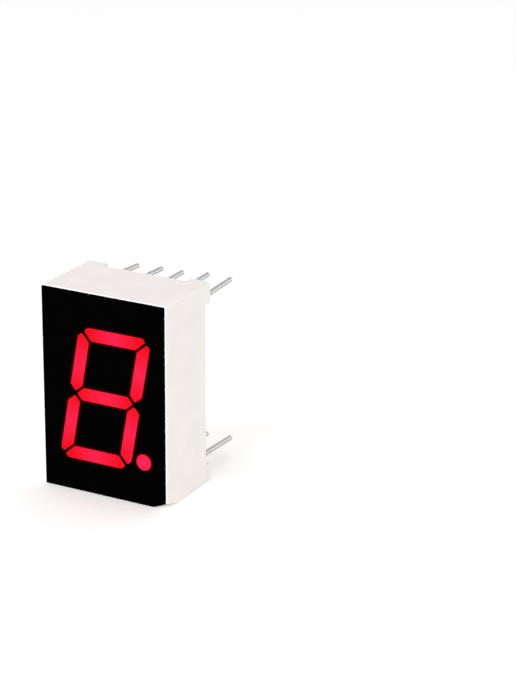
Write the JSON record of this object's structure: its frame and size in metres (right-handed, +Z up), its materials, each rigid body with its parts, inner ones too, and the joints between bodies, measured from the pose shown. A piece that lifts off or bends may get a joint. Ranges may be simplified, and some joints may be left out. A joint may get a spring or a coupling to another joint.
{
  "type": "seven segment display",
  "caption": "Small numeric display: off-white box with a black face, slanted glowing red bars, a decimal point and straight pins at the back.",
  "frame": {"origin": "centre of the pin pattern, on the plane of the standing feet that seats on a circuit board", "axes": "+Y the way the pins point, -Y the way the lit face looks, +Z up the digit, +X to the right seen from the front"},
  "size_m": [0.0126, 0.014, 0.019],
  "materials": {
    "housing_plastic": "fine satin, off-white",
    "black_ink": "flat black print",
    "lit_resin": "diffusing resin, lit red",
    "potting_resin": "cast, slightly wavy",
    "board_laminate": "glass fibre laminate",
    "copper_foil": "bare copper",
    "chip": "sawn semiconductor",
    "gold_wire": "drawn gold",
    "tinned_wire": "dipped tin, satin",
    "solder": "satin tin"
  },
  "bodies": {
    "root": {"back_copper": "copper_foil", "bond_wire_a": "gold_wire", "bond_wire_b": "gold_wire", "bond_wire_c": "gold_wire", "bond_wire_d": "gold_wire", "bond_wire_e": "gold_wire", "bond_wire_f": "gold_wire", "bond_wire_g": "gold_wire", "bond_wire_point": "gold_wire", "circuit_board": "board_laminate", "decimal_point": "lit_resin", "face_print": "black_ink", "front_copper": "copper_foil", "housing": "housing_plastic", "led_chip_a": "chip", "led_chip_b": "chip", "led_chip_c": "chip", "led_chip_d": "chip", "led_chip_e": "chip", "led_chip_f": "chip", "led_chip_g": "chip", "led_chip_point": "chip", "pin_1": "tinned_wire", "pin_10": "tinned_wire", "pin_2": "tinned_wire", "pin_3": "tinned_wire", "pin_4": "tinned_wire", "pin_5": "tinned_wire", "pin_6": "tinned_wire", "pin_7": "tinned_wire", "pin_8": "tinned_wire", "pin_9": "tinned_wire", "potting": "potting_resin", "segment_a": "lit_resin", "segment_b": "lit_resin", "segment_c": "lit_resin", "segment_d": "lit_resin", "segment_e": "lit_resin", "segment_f": "lit_resin", "segment_g": "lit_resin", "solder_joint_1": "solder", "solder_joint_10": "solder", "solder_joint_2": "solder", "solder_joint_3": "solder", "solder_joint_4": "solder", "solder_joint_5": "solder", "solder_joint_6": "solder", "solder_joint_7": "solder", "solder_joint_8": "solder", "solder_joint_9": "solder"}
  },
  "joints": []
}
